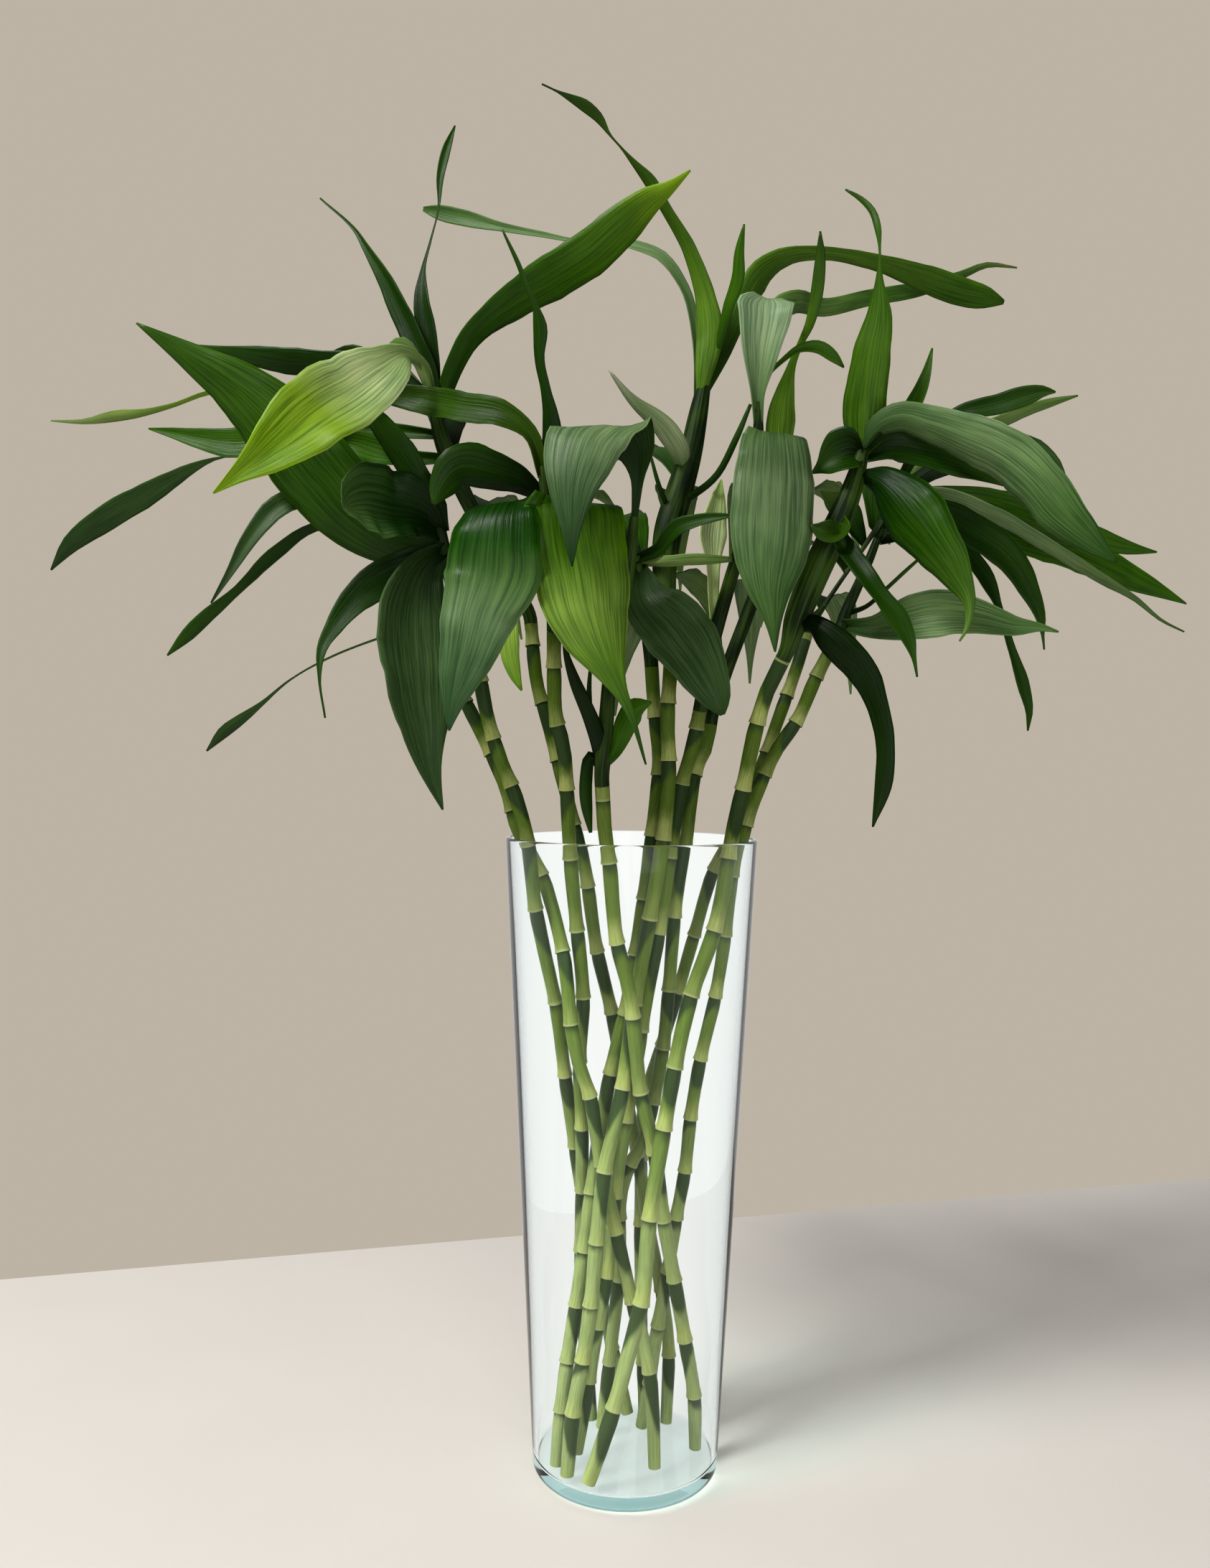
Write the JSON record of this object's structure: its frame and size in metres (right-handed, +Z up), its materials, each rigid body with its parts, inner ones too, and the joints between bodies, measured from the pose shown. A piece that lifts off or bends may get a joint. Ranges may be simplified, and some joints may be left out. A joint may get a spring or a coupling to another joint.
{
  "type": "potted bamboo in glass vase",
  "caption": "Lucky bamboo canes with leafy tops, crossing inside a tall tapered clear glass vase and fanning out above its rim.",
  "frame": {"origin": "centre of the vase's flat underside", "axes": "+Z up along the vase's axis, -Y towards the viewer of the picture, +X to that viewer's right"},
  "size_m": [0.8144, 0.3399, 0.8623],
  "materials": {
    "glass": "clear, glossy",
    "cane": "smooth green, paler at the rings",
    "leaf_dark": "satin dark green",
    "leaf_mid": "satin green",
    "leaf_light": "satin yellow-green"
  },
  "bodies": {
    "root": {"vase": "glass", "cane_01": "cane", "cane_02": "cane", "cane_03": "cane", "cane_04": "cane", "cane_05": "cane", "cane_06": "cane", "cane_07": "cane", "cane_08": "cane", "cane_09": "cane", "cane_10": "cane", "cane_11": "cane", "cane_12": "cane", "leaves_01": "leaf_dark", "leaves_02": "leaf_mid", "leaves_03": "leaf_light", "leaves_04": "leaf_dark", "leaves_05": "leaf_light", "leaves_06": "leaf_dark", "leaves_07": "leaf_mid", "leaves_08": "leaf_light", "leaves_09": "leaf_mid", "leaves_10": "leaf_light", "leaves_11": "leaf_mid", "leaves_12": "leaf_mid"}
  },
  "joints": []
}
